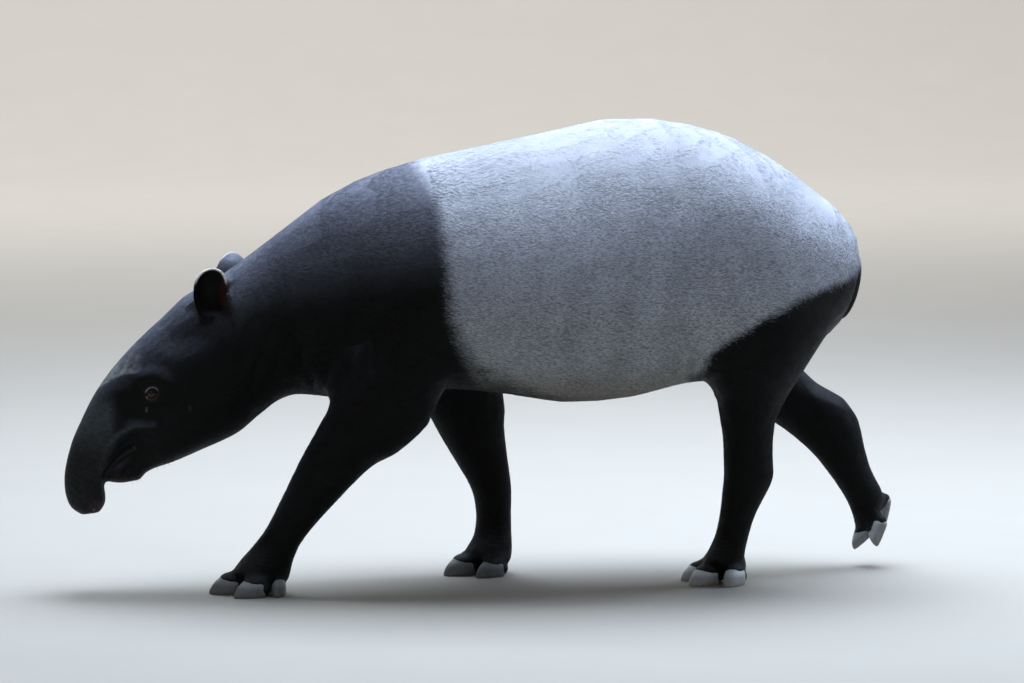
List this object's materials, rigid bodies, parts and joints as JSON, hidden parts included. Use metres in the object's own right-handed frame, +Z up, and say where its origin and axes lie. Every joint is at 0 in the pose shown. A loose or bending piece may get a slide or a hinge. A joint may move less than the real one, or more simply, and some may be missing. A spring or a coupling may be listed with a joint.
{
  "type": "tapir figure",
  "caption": "Life-size Malayan tapir walking with its head low: black foreparts and legs, pale saddle, drooping snout, round ears and hoofed toes.",
  "frame": {"origin": "middle of the bounding box in plan, on the floor under the hooves", "axes": "-X is the way the animal walks, +Z is up, -Y is its left side"},
  "size_m": [1.9776, 0.5968, 1.0857],
  "materials": {
    "black_coat": "short flat black fur with a slight sheen",
    "white_coat": "short flat grey-white fur",
    "hoof_horn": "satin grey horn",
    "eye": "wet dark brown"
  },
  "bodies": {
    "root": {"ear_left": "black_coat", "ear_right": "black_coat", "eye_left": "eye", "eye_right": "eye", "foreleg_left_foot": "black_coat", "foreleg_left_lower": "black_coat", "foreleg_left_upper": "black_coat", "foreleg_right_foot": "black_coat", "foreleg_right_lower": "black_coat", "foreleg_right_upper": "black_coat", "head": "black_coat", "hindleg_left_foot": "black_coat", "hindleg_left_lower": "black_coat", "hindleg_left_upper": "black_coat", "hindleg_right_foot": "black_coat", "hindleg_right_lower": "black_coat", "hindleg_right_upper": "black_coat", "hoof_foreleg_left_2": "hoof_horn", "hoof_foreleg_left_3": "hoof_horn", "hoof_foreleg_left_4": "hoof_horn", "hoof_foreleg_left_5": "hoof_horn", "hoof_foreleg_right_2": "hoof_horn", "hoof_foreleg_right_3": "hoof_horn", "hoof_foreleg_right_4": "hoof_horn", "hoof_foreleg_right_5": "hoof_horn", "hoof_hindleg_left_2": "hoof_horn", "hoof_hindleg_left_3": "hoof_horn", "hoof_hindleg_left_4": "hoof_horn", "hoof_hindleg_right_2": "hoof_horn", "hoof_hindleg_right_3": "hoof_horn", "hoof_hindleg_right_4": "hoof_horn", "neck": "black_coat", "proboscis": "black_coat", "tail": "black_coat", "torso": "white_coat"}
  },
  "joints": []
}
